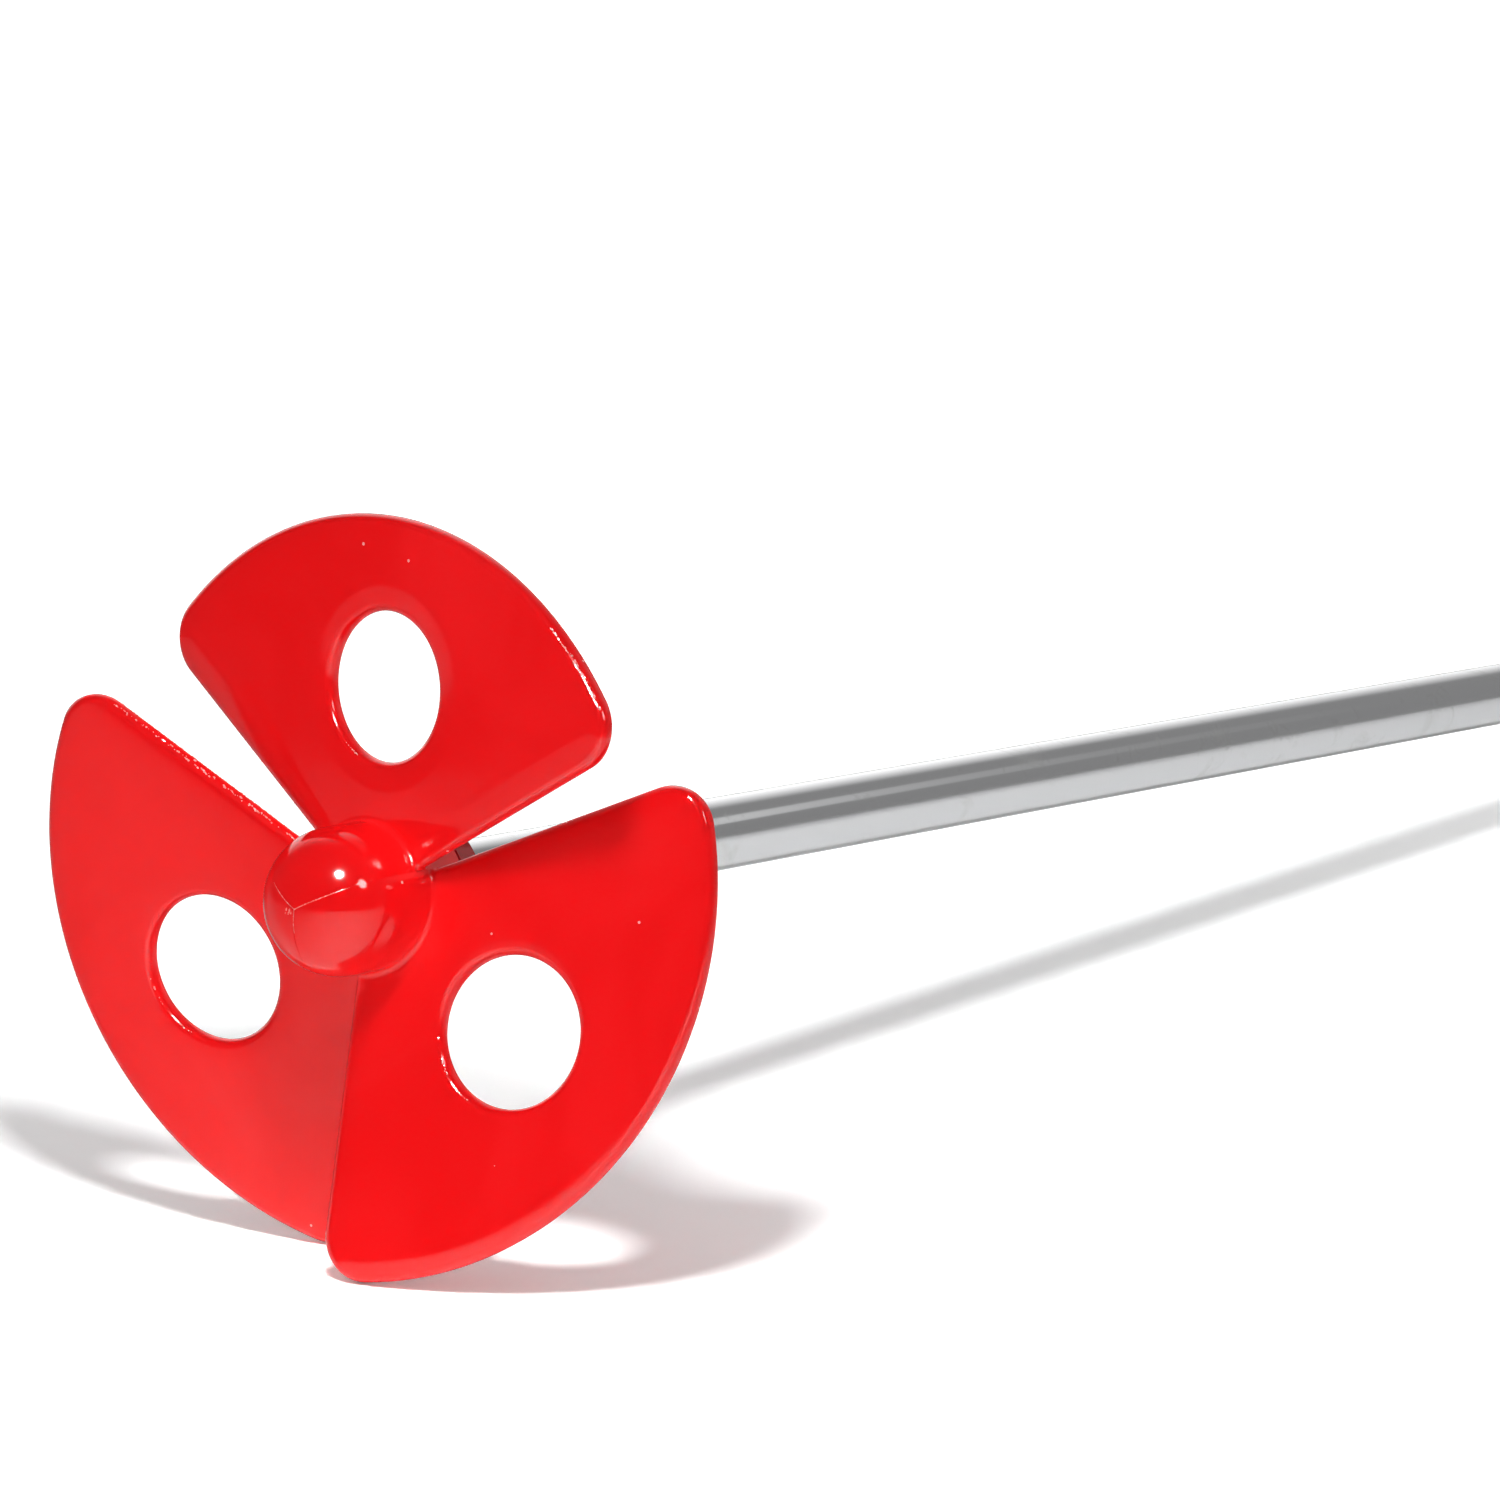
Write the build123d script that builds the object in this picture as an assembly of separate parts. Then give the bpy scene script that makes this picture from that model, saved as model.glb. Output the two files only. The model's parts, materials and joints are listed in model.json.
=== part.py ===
"""Garden windmill: a three-bladed wind rotor that spins on the end of a straight plated rod.

The rotor is three identical mouldings. Each one is a pitched blade with a third of the round hub shell,
and the three close round a nylon core. The core turns on the journal of an axle pin, which is pressed into
the front of the rod. A ground spike closes the other end of the rod. The windmill lies on a level surface:
it rests on two blade corners and on the heel of its spike.

Every piece is first made in the rotor's own frame: +Z is the spin axis, towards the nose, +Y is up when the
rod is level, and the origin is where the axis crosses the middle of the blades. The last section lays the
pieces down in the part's frame, whose origin is the middle of the underside of the box that holds it all.
Lengths are in millimetres and angles in degrees.
"""
from build123d import *
import math
import os

# ---------------------------------------------------------------- driving dimensions
BLADE_COUNT = 3
ROTOR_R = 38.5            # from the spin axis to the rim of a blade
BLADE_THICK = 1.8
BLADE_PITCH = 10.4        # how far a blade leans out of the plane of rotation
BLADE_HALF_ANGLE = 57.0   # from a blade's centre line to its straight edge
EDGE_OFFSET = 0.25        # how far a straight edge stands outside its own radial line
CORNER_R = 4.6            # rounding of the two outer corners, seen along the axis
EDGE_ROUND = 0.8          # rounding of every rim, edge and hole
HOLE_R = 7.6              # the round window in a blade
HOLE_FROM_AXIS = 21.35

HUB_R = 7.6               # the hub and its ball nose have one radius
BALL_AHEAD = 5.6          # the centre of the ball, ahead of the blades
HUB_BACK = 9.0            # the open back of the hub, behind the blades
SHELL_WALL = 2.0
ROOT_FILLET = 0.6         # the hollow where a blade runs into its shell
SEAM_WIDTH = 0.16         # the fine groove where the shells meet on the nose
SEAM_DEPTH = 0.08         # at the tip; it runs out towards the blades
SEAM_REACH = 50.0         # from the tip to where the groove runs out
RIB_HEIGHT = 0.8          # the rib inside the shell that keys into the core
RIB_LENGTH = 1.9
RIB_AHEAD = 2.6

CORE_BACK = 5.0           # the back face of the core, behind the blades
CORE_FRONT = 5.4          # its front face, ahead of them
SLEEVE_WALL = 1.15
JOURNAL_R = 2.0
RING_WALL = 0.9           # the ring that holds the three skirts together
RING_LENGTH = 3.4

WASHER_THICK = 0.6
REAR_WASHER_R = 5.0
FRONT_WASHER_R = 4.2
CLIP_THICK = 0.6
CLIP_R = 3.5
GROOVE_DEPTH = 0.6
JOURNAL_TAIL = 1.4        # the journal's end, past the clip's groove

ROD_R = 4.0
ROD_WALL = 1.0
PLUG_LENGTH = 22.0        # of the axle pin and the spike inside the rod
COLLAR_LENGTH = 2.2       # of the axle pin between the rod and the rear washer
SPIKE_R = 3.5
SPIKE_SHANK = 55.0
SPIKE_POINT = 18.0
SPIKE_TIP_R = 0.7
REACH = 505.0             # from the blades to the heel where the spike's point begins

RUNNING_GAP = 0.05        # radial, between the journal and what turns or sits on it
FIT_GAP = 0.01            # radial, between pieces pressed together
SHELL_GAP = 0.05          # between the shell and the core, in every direction
AXIAL_PLAY = 0.25         # on each side of the core
SMALL_CHAMFER = 0.3

# ---------------------------------------------------------------- sizes that follow from those
SHELL_IN_R = HUB_R - SHELL_WALL
CORE_R = SHELL_IN_R - SHELL_GAP
SKIRT_R = HUB_R - RING_WALL
SLEEVE_IN_R = JOURNAL_R + RUNNING_GAP
SLEEVE_R = SLEEVE_IN_R + SLEEVE_WALL
WASHER_IN_R = JOURNAL_R + RUNNING_GAP
ROD_IN_R = ROD_R - ROD_WALL
PLUG_R = ROD_IN_R - FIT_GAP
GROOVE_R = JOURNAL_R - GROOVE_DEPTH

REAR_WASHER_Z = -(CORE_BACK + AXIAL_PLAY + WASHER_THICK)      # its back face, on the axle's shoulder
ROD_FRONT_Z = REAR_WASHER_Z - COLLAR_LENGTH
FRONT_WASHER_Z = CORE_FRONT + AXIAL_PLAY
CLIP_Z = FRONT_WASHER_Z + WASHER_THICK + RUNNING_GAP
JOURNAL_END_Z = CLIP_Z + CLIP_THICK + RUNNING_GAP + JOURNAL_TAIL
ROD_BACK_Z = -(REACH - SPIKE_SHANK)
SECTOR = 360.0 / BLADE_COUNT


def cylinder(radius, low, high):
    """A round bar about the spin axis, from low to high along it."""
    return Pos(0, 0, (low + high) / 2) * Cylinder(radius, high - low)


def tube(outer, inner, low, high):
    """A round tube about the spin axis."""
    return cylinder(outer, low, high) - cylinder(inner, low - 1, high + 1)


def ends_chamfered(solid, radius, size=SMALL_CHAMFER):
    """The solid with a chamfer on each of its circular edges of that radius."""
    rims = [e for e in solid.edges().filter_by(GeomType.CIRCLE) if abs(e.radius - radius) < 1e-6]
    return chamfer(rims, size)


# ---------------------------------------------------------------- rotor: blades and hub shell
def blade_outline():
    """A blade seen along the axis, about +X: two straight edges, a rim on the rotor's circle, round corners."""
    half = math.radians(BLADE_HALF_ANGLE)
    inset = CORNER_R - EDGE_OFFSET
    centre_r = ROTOR_R - CORNER_R
    along = math.sqrt(centre_r**2 - inset**2)
    edge = Vector(math.cos(half), math.sin(half))
    out = Vector(-math.sin(half), math.cos(half))
    root = edge * (SHELL_IN_R * 0.5) + out * EDGE_OFFSET
    tangent = edge * along + out * EDGE_OFFSET
    centre = edge * along - out * inset
    rim = centre * (ROTOR_R / centre_r)
    corner_mid = centre + (out + centre * (1 / centre_r)).normalized() * CORNER_R

    def mirrored(p):
        return Vector(p.X, -p.Y)

    lines = [
        Line(root, tangent),
        ThreePointArc(tangent, corner_mid, rim),
        ThreePointArc(rim, Vector(ROTOR_R, 0), mirrored(rim)),
        ThreePointArc(mirrored(rim), mirrored(corner_mid), mirrored(tangent)),
        Line(mirrored(tangent), mirrored(root)),
        Line(mirrored(root), root),
    ]
    return make_face(lines)


def blade_plate():
    """The pitched plate of one blade, about +X, with rounded edges and its round window."""
    reach = 2 * ROTOR_R
    slab = Rot(-BLADE_PITCH, 0, 0) * Box(reach, reach, BLADE_THICK)
    column = Pos(0, 0, -ROTOR_R / 2) * extrude(blade_outline(), ROTOR_R)
    plate = slab & column
    plate -= Pos(HOLE_FROM_AXIS, 0, 0) * Cylinder(HOLE_R, ROTOR_R)
    # Every edge beyond the hub is a rim, a straight edge or the window: all are rounded alike.
    sharp = [e for e in plate.edges() if e.center().X > SHELL_IN_R and e.length > 2 * BLADE_THICK]
    return fillet(sharp, EDGE_ROUND)


def capsule(radius):
    """A round bar with a ball nose: the outside or the inside of the hub shell."""
    return cylinder(radius, -HUB_BACK, BALL_AHEAD) + Pos(0, 0, BALL_AHEAD) * Sphere(radius)


def sector_wedge():
    """One blade's share of the space round the axis, about +X."""
    size = 2 * ROTOR_R
    half = math.radians(SECTOR / 2)
    corner = Vector(size * math.cos(half), size * math.sin(half))
    outline = Polyline((0, 0), (corner.X, -corner.Y), (size, -corner.Y), (size, corner.Y),
                       (corner.X, corner.Y), (0, 0))
    return Pos(0, 0, -ROTOR_R) * extrude(make_face(outline), 2 * ROTOR_R)


def blade_on_hub():
    """A blade run into the outside of the whole hub with a fillet, about +X."""
    body = capsule(HUB_R) + blade_plate()
    reach = BLADE_THICK + HUB_R * math.tan(math.radians(BLADE_PITCH))

    def at_root(edge):
        spots = [edge @ 0.0, edge @ 0.5, edge @ 1.0]
        return all(abs(math.hypot(p.X, p.Y) - HUB_R) < 1e-3 and abs(p.Z) < reach and p.X > 0 for p in spots)

    return fillet([e for e in body.edges() if at_root(e)], ROOT_FILLET)


def seam_groove():
    """What the fine groove takes from the nose at both edges of a shell: deepest at the tip, out at its reach."""
    rise = SEAM_DEPTH / (1 - math.cos(math.radians(SEAM_REACH)))
    floor = Pos(0, 0, BALL_AHEAD - rise) * Sphere(HUB_R + rise - SEAM_DEPTH)
    size = 2 * HUB_R
    slab = Pos(size / 2, 0, BALL_AHEAD + size / 2) * Box(size, SEAM_WIDTH, size)
    half = SECTOR / 2
    return (Rot(0, 0, half) * slab + Rot(0, 0, -half) * slab) - floor


def blade(number):
    """One moulding: a blade with its third of the hub shell, at its place round the axis."""
    hollow = Pos(0, 0, -SHELL_GAP) * capsule(SHELL_IN_R)
    hollow += cylinder(SHELL_IN_R, -HUB_BACK - 1, -HUB_BACK + 1)
    hollow -= tube(SHELL_IN_R + SHELL_GAP, SHELL_IN_R - RIB_HEIGHT, RIB_AHEAD, RIB_AHEAD + RIB_LENGTH)
    skirt_cut = tube(HUB_R + 1, SKIRT_R - FIT_GAP, -HUB_BACK - 1, -HUB_BACK + RING_LENGTH)
    moulding = (blade_on_hub() & sector_wedge()) - hollow - skirt_cut - seam_groove()
    return Rot(0, 0, blade_angle(number)) * moulding


def hub_core():
    """The nylon core inside the shell, with the groove that the shell's rib keys into."""
    core = tube(CORE_R, SLEEVE_R + FIT_GAP, -CORE_BACK, CORE_FRONT)
    groove_low, groove_high = RIB_AHEAD - SHELL_GAP, RIB_AHEAD + RIB_LENGTH + SHELL_GAP
    core -= tube(CORE_R + 1, CORE_R - RIB_HEIGHT, groove_low, groove_high)
    return core


def bearing_sleeve():
    """The bearing tube pressed into the core, which turns on the journal."""
    return tube(SLEEVE_R, SLEEVE_IN_R, -CORE_BACK, CORE_FRONT)


def clamp_ring():
    """The ring pressed over the back of the three shells."""
    ring = tube(HUB_R, SKIRT_R, -HUB_BACK, -HUB_BACK + RING_LENGTH - SHELL_GAP)
    return ends_chamfered(ring, HUB_R)


# ---------------------------------------------------------------- stake: rod, axle and spike
def axle_pin():
    """The axle: a plug in the rod, a shoulder as wide as the rod and the journal with its groove."""
    pin = cylinder(PLUG_R, ROD_FRONT_Z - PLUG_LENGTH, ROD_FRONT_Z)
    pin += cylinder(ROD_R, ROD_FRONT_Z, REAR_WASHER_Z)
    pin += cylinder(JOURNAL_R, REAR_WASHER_Z, JOURNAL_END_Z)
    pin -= tube(JOURNAL_R + 1, GROOVE_R, CLIP_Z - RUNNING_GAP, CLIP_Z + CLIP_THICK + RUNNING_GAP)
    tip = [e for e in pin.edges().filter_by(GeomType.CIRCLE) if abs(e.center().Z - JOURNAL_END_Z) < 1e-6]
    return chamfer(tip, SMALL_CHAMFER)


def washer(outer, low):
    return tube(outer, WASHER_IN_R, low, low + WASHER_THICK)


def retaining_clip():
    """An E-clip: a split ring with three lugs that reach into the journal's groove."""
    high = CLIP_Z + CLIP_THICK
    lug_in = GROOVE_R + RUNNING_GAP
    web_in = JOURNAL_R + GROOVE_DEPTH / 2
    clip = tube(CLIP_R, web_in, CLIP_Z, high)
    lug_length = web_in + GROOVE_DEPTH / 2 - lug_in
    lug = Pos(lug_in + lug_length / 2, 0, (CLIP_Z + high) / 2) * Box(lug_length, GROOVE_DEPTH * 2, CLIP_THICK)
    for turn in (0, 120, 240):
        clip += Rot(0, 0, turn) * lug
    mouth = Pos(-CLIP_R, 0, (CLIP_Z + high) / 2) * Box(2 * CLIP_R, 2 * GROOVE_R - RUNNING_GAP, 2 * CLIP_THICK)
    return Rot(0, 0, 90) * (clip - mouth)


def rod_tube():
    """The straight plated tube between the axle pin and the spike."""
    rod = tube(ROD_R, ROD_IN_R, ROD_BACK_Z, ROD_FRONT_Z)
    back = [e for e in rod.edges().filter_by(GeomType.CIRCLE)
            if abs(e.radius - ROD_R) < 1e-6 and abs(e.center().Z - ROD_BACK_Z) < 1e-6]
    return chamfer(back, SMALL_CHAMFER)


def ground_spike():
    """The spike: a plug in the rod, a bare shank and a blunt point."""
    heel, point = -REACH, -REACH - SPIKE_POINT
    profile = Polyline((0, ROD_BACK_Z + PLUG_LENGTH), (PLUG_R, ROD_BACK_Z + PLUG_LENGTH), (PLUG_R, ROD_BACK_Z),
                       (SPIKE_R, ROD_BACK_Z), (SPIKE_R, heel), (SPIKE_TIP_R, point), (0, point), close=True)
    spike = revolve(Plane.XZ * make_face(profile), Axis.Z)
    blunt = [e for e in spike.edges().filter_by(GeomType.CIRCLE) if abs(e.center().Z - point) < 1e-6]
    return fillet(blunt, SPIKE_TIP_R * 0.6)


# ---------------------------------------------------------------- how it lies on a level surface
def resting_pose():
    """The tilt of the rod, the roll of the rotor and the height of its centre, in radians and millimetres.

    The rotor stands on the forward corner of one blade and the backward corner of the next, on each side
    of the gap between them, and the spike's heel is the third foot."""
    centre_r = ROTOR_R - CORNER_R
    centre_angle = math.radians(BLADE_HALF_ANGLE) - math.asin((CORNER_R - EDGE_OFFSET) / centre_r)
    half_sector = math.radians(SECTOR / 2)
    gap = half_sector - centre_angle
    lean = math.tan(math.radians(BLADE_PITCH))
    tilt = roll = height = 0.0
    for _ in range(50):
        ahead = lean * (centre_r * math.sin(centre_angle) + CORNER_R * math.sin(half_sector - roll))
        behind = lean * (centre_r * math.sin(centre_angle) + CORNER_R * math.sin(half_sector + roll))
        roll = math.asin((ahead + behind) * math.tan(tilt) / (2 * centre_r * math.sin(gap)))
        drop = centre_r * math.cos(gap - roll) + CORNER_R
        height = drop * math.cos(tilt) - ahead * math.sin(tilt)
        tilt = math.asin((height - SPIKE_R * math.cos(tilt)) / REACH)
    return tilt, roll, height


TILT, ROLL, AXIS_HEIGHT = resting_pose()


def blade_angle(number):
    """Where blade 1, 2 or 3 stands round the axis. Blade 1 is the upper one when the windmill lies down."""
    return 90.0 - math.degrees(ROLL) + SECTOR * (number - 1)


def rotor_pieces():
    pieces = {f"blade_{n}": blade(n) for n in range(1, BLADE_COUNT + 1)}
    pieces["hub_core"] = hub_core()
    pieces["bearing_sleeve"] = bearing_sleeve()
    pieces["clamp_ring"] = clamp_ring()
    return pieces


def stake_pieces():
    return {
        "rod_tube": rod_tube(),
        "axle_pin": axle_pin(),
        "rear_washer": washer(REAR_WASHER_R, REAR_WASHER_Z),
        "front_washer": washer(FRONT_WASHER_R, FRONT_WASHER_Z),
        "retaining_clip": retaining_clip(),
        "ground_spike": ground_spike(),
    }


# The spin axis is level after the quarter turn, and then the nose lifts by the tilt.
laid_down = Rot(90.0 - math.degrees(TILT), 0, 0)
rotor, stake = rotor_pieces(), stake_pieces()
pieces = {name: laid_down * shape for name, shape in {**rotor, **stake}.items()}
box = Compound(children=[Compound(p.solids()) for p in pieces.values()]).bounding_box()
origin = Vector((box.min.X + box.max.X) / 2, (box.min.Y + box.max.Y) / 2, box.min.Z)
to_origin = Pos(-origin.X, -origin.Y, -origin.Z)
PLACE = to_origin * laid_down


def placed_point(z):
    """A point on the spin axis, z ahead of the blades, in the part's frame."""
    return (PLACE * Pos(0, 0, z)).position


os.makedirs("parts", exist_ok=True)
for name, shape in pieces.items():
    export_step(to_origin * shape, f"parts/{name}.step")

print("tilt", round(math.degrees(TILT), 3), "roll", round(math.degrees(ROLL), 3))
print("axis height", round(AXIS_HEIGHT, 3), "box", box.size)
print("rotor centre", placed_point(0), "spike heel", placed_point(-REACH))
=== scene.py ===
# %% [markdown]
# # A red garden windmill, lying on a pale table
#
# The windmill is three pitched plastic blades round a ball-nosed hub, on the end of a straight plated rod.
# Its shapes come from the construction model, so this lesson is mostly about finishes and light: glossy
# moulded plastic, bright plating, turned steel, nylon and brass, and the small marks that moulding leaves.

# %% Load the fixed frame
import json
import math
import random

import bmesh
import bpy
from mathutils import Matrix, Vector
from mathutils.bvhtree import BVHTree


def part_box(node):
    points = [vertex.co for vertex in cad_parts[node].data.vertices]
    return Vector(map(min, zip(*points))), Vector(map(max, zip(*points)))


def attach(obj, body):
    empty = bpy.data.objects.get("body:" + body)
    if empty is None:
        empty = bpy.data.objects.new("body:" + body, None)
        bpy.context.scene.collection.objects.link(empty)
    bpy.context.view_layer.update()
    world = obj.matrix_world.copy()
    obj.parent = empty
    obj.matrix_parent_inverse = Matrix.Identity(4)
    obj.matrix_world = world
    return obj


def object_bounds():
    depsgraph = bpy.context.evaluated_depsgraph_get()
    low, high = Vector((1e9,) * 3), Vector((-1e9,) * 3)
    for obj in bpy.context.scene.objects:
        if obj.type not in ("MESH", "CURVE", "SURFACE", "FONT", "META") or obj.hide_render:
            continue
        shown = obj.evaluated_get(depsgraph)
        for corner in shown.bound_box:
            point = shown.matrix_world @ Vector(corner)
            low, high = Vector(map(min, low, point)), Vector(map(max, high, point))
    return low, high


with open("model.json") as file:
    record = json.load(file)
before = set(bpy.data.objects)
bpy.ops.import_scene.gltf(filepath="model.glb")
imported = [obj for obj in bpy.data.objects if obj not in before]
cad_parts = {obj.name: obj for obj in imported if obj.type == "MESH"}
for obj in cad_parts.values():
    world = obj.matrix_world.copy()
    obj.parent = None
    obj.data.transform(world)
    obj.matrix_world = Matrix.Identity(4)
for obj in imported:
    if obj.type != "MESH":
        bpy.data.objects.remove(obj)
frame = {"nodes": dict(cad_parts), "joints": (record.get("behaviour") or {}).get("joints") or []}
cad_low, cad_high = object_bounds()
nodes = frame["nodes"]
MM = 0.001
print("CAD box", [round(v, 4) for v in cad_high - cad_low], "nodes", len(nodes))

# %% [markdown]
# ## The spin axis
#
# Nearly everything on a windmill is placed by its axis. The joint in the record says where the axis is and
# which way the nose points, so both are read from there. `axis_frame` turns a place given round the axis
# (x across, y up, z towards the nose) into a place in the model.

# %% Where the spin axis is
spin = next(j for j in frame["joints"] if j["name"] == "rotor_spin")
CENTRE = Vector(spin["pos_m"])
NOSE = Vector(spin["axis"]).normalized()
ACROSS = Vector((1.0, 0.0, 0.0))
RISE = NOSE.cross(ACROSS).normalized()
axis_frame = Matrix((ACROSS, RISE, NOSE)).transposed().to_4x4()
axis_frame.translation = CENTRE
BLADE_COUNT = 3
ROTOR_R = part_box("blade_3")[1].x - CENTRE.x
print("rotor centre", CENTRE, "tilt", round(math.degrees(math.asin(NOSE.z)), 2), "radius", round(ROTOR_R, 4))

# %% [markdown]
# ## The camera
#
# The camera looks along the windmill from in front, a little above it, with a long lens, so that the rod
# runs away to the right. Its place is worked out from the rotor: so many rotor radii away, and so far to
# the side of the hub.

# %% Camera
CAMERA_TURN = math.radians(32.68)       # between the line of sight and the rod, seen from above
CAMERA_HEIGHT = math.radians(10.5)      # the line of sight points down by this much
CAMERA_AWAY = 17.003                    # in rotor radii, as the next two
HUB_RIGHT = -0.9889
HUB_UP = -0.3804
LENS = 156.0

ct, st = math.cos(CAMERA_TURN), math.sin(CAMERA_TURN)
ch, sh = math.cos(CAMERA_HEIGHT), math.sin(CAMERA_HEIGHT)
view_right = Vector((ct, st, 0.0))
view_ahead = Vector((-st * ch, ct * ch, -sh))
view_up = Vector((-st * sh, ct * sh, ch))

camera_data = bpy.data.cameras.new("camera")
camera_data.lens = LENS
camera_data.sensor_width = 36.0
camera_data.clip_start, camera_data.clip_end = 0.05, 50.0
camera = bpy.data.objects.new("camera", camera_data)
bpy.context.scene.collection.objects.link(camera)
camera.location = CENTRE - ROTOR_R * (CAMERA_AWAY * view_ahead + HUB_RIGHT * view_right + HUB_UP * view_up)
camera.rotation_euler = view_ahead.to_track_quat("-Z", "Y").to_euler()
bpy.context.scene.camera = camera
bpy.context.scene.view_settings.view_transform = "Standard"
print("camera at", camera.location)

# %% [markdown]
# ## Small helpers for nodes
#
# A material is a graph of nodes. `add` makes one node and sets its sockets by name, and `join` connects two
# sockets, so that each finish below reads as a short list of steps.

# %% Node helpers
def add(tree, kind, label=None, **values):
    """One node. Words in values are socket names with _ for a space, or the node's own settings."""
    node = tree.nodes.new(kind)
    if label:
        node.label = label
    for key, value in values.items():
        socket = node.inputs.get(key.replace("_", " "))
        if socket is not None and not hasattr(node, key):
            socket.default_value = value
        else:
            setattr(node, key, value)
    return node


def join(tree, start, end):
    tree.links.new(start, end)


def math_node(tree, operation, first, second=None, clamp=False):
    """A Math node whose inputs are sockets or plain numbers. Gives its output socket."""
    node = add(tree, "ShaderNodeMath", operation=operation, use_clamp=clamp)
    for slot, value in zip(node.inputs, (first, second)):
        if value is None:
            continue
        if hasattr(value, "links"):
            join(tree, value, slot)
        else:
            slot.default_value = value
    return node.outputs[0]


def ramp(tree, value, low, high, to_low=0.0, to_high=1.0, smooth=False):
    """A value mapped from one range to another, held inside it. Gives the output socket."""
    node = add(tree, "ShaderNodeMapRange", From_Min=low, From_Max=high, To_Min=to_low, To_Max=to_high)
    node.interpolation_type = "SMOOTHSTEP" if smooth else "LINEAR"
    join(tree, value, node.inputs["Value"])
    return node.outputs["Result"]


def mix_colour(tree, factor, first, second, blend="MIX"):
    """Two colours mixed. Each is a socket or a plain colour. Gives the output socket."""
    node = add(tree, "ShaderNodeMix", data_type="RGBA", blend_type=blend)
    for slot, value in ((node.inputs[0], factor), (node.inputs[6], first), (node.inputs[7], second)):
        if hasattr(value, "links"):
            join(tree, value, slot)
        else:
            slot.default_value = value
    return node.outputs[2]


def new_group(name, inputs, outputs):
    """An empty shader node group with its sockets. Gives the tree and its inside ends."""
    tree = bpy.data.node_groups.new(name, "ShaderNodeTree")
    for label, kind, value in inputs:
        socket = tree.interface.new_socket(label, in_out="INPUT", socket_type=kind)
        if value is not None:
            socket.default_value = value
    for label, kind in outputs:
        tree.interface.new_socket(label, in_out="OUTPUT", socket_type=kind)
    return tree, tree.nodes.new("NodeGroupInput"), tree.nodes.new("NodeGroupOutput")


def use_group(tree, group, vector=None, **values):
    """A group placed in a material, with its own values."""
    node = tree.nodes.new("ShaderNodeGroup")
    node.node_tree = group
    for key, value in values.items():
        node.inputs[key.replace("_", " ")].default_value = value
    if vector is not None:
        join(tree, vector, node.inputs["Vector"])
    return node


def new_material(name):
    """A material with its Principled BSDF and object coordinates. They move with the piece."""
    material = bpy.data.materials.new(name)
    material.use_nodes = True
    tree = material.node_tree
    shader = tree.nodes["Principled BSDF"]
    place = add(tree, "ShaderNodeTexCoord").outputs["Object"]
    return material, tree, shader, place


VECTOR, FLOAT = "NodeSocketVector", "NodeSocketFloat"

# %% [markdown]
# ## Effects that several finishes share
#
# Dust, smudges, a faint ripple and turning marks show on more than one material, so each is a node group
# with its own inputs. A group gives a mask or a normal, and every material decides what to do with it. A
# picture wrapped round each piece would do too, but noise worked out from the place itself needs no seams.

# %% Group: ripple, the faint unevenness of a moulded or plated surface
ripple, inside, outside = new_group(
    "surface ripple",
    [("Vector", VECTOR, None), ("Size mm", FLOAT, 2.0), ("Depth mm", FLOAT, 0.01)],
    [("Normal", VECTOR)],
)
waves = add(ripple, "ShaderNodeTexNoise", Detail=2.0, Roughness=0.5)
join(ripple, inside.outputs["Vector"], waves.inputs["Vector"])
join(ripple, math_node(ripple, "DIVIDE", 1 / MM, inside.outputs["Size mm"]), waves.inputs["Scale"])
bump = add(ripple, "ShaderNodeBump", Strength=1.0)
join(ripple, math_node(ripple, "MULTIPLY", inside.outputs["Depth mm"], MM), bump.inputs["Distance"])
join(ripple, waves.outputs["Fac"], bump.inputs["Height"])
join(ripple, bump.outputs["Normal"], outside.inputs["Normal"])

# %% Group: dust, small pale specks that lie here and there
dust, inside, outside = new_group(
    "dust specks",
    [("Vector", VECTOR, None), ("Spacing mm", FLOAT, 3.0), ("Speck", FLOAT, 0.06), ("Share", FLOAT, 0.3)],
    [("Mask", FLOAT)],
)
cells = add(dust, "ShaderNodeTexVoronoi", feature="F1", Randomness=1.0)
join(dust, inside.outputs["Vector"], cells.inputs["Vector"])
join(dust, math_node(dust, "DIVIDE", 1 / MM, inside.outputs["Spacing mm"]), cells.inputs["Scale"])
near = math_node(dust, "LESS_THAN", cells.outputs["Distance"], inside.outputs["Speck"])
pick = add(dust, "ShaderNodeSeparateColor")
join(dust, cells.outputs["Color"], pick.inputs["Color"])
chosen = math_node(dust, "LESS_THAN", pick.outputs["Red"], inside.outputs["Share"])
join(dust, math_node(dust, "MULTIPLY", near, chosen), outside.inputs["Mask"])

# %% Group: smudges, soft patches that a hand leaves on a polished surface
smudge, inside, outside = new_group(
    "smudges",
    [("Vector", VECTOR, None), ("Size mm", FLOAT, 10.0), ("Cover", FLOAT, 0.5)],
    [("Mask", FLOAT)],
)
cloud = add(smudge, "ShaderNodeTexNoise", Detail=5.0, Roughness=0.62, Distortion=0.8)
join(smudge, inside.outputs["Vector"], cloud.inputs["Vector"])
join(smudge, math_node(smudge, "DIVIDE", 1 / MM, inside.outputs["Size mm"]), cloud.inputs["Scale"])
CLEAN_EDGE = 0.75           # with no cover, a smudge starts where the cloud is this dense
COVER_GAIN = 0.4            # and full cover lowers that by this much
EDGE_GAIN = 8.0             # how sharply a smudge sets in
cover = math_node(smudge, "MULTIPLY", inside.outputs["Cover"], COVER_GAIN)
edge = math_node(smudge, "SUBTRACT", CLEAN_EDGE, cover)
above = math_node(smudge, "SUBTRACT", cloud.outputs["Fac"], edge)
join(smudge, math_node(smudge, "MULTIPLY", above, EDGE_GAIN, clamp=True), outside.inputs["Mask"])

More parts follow.
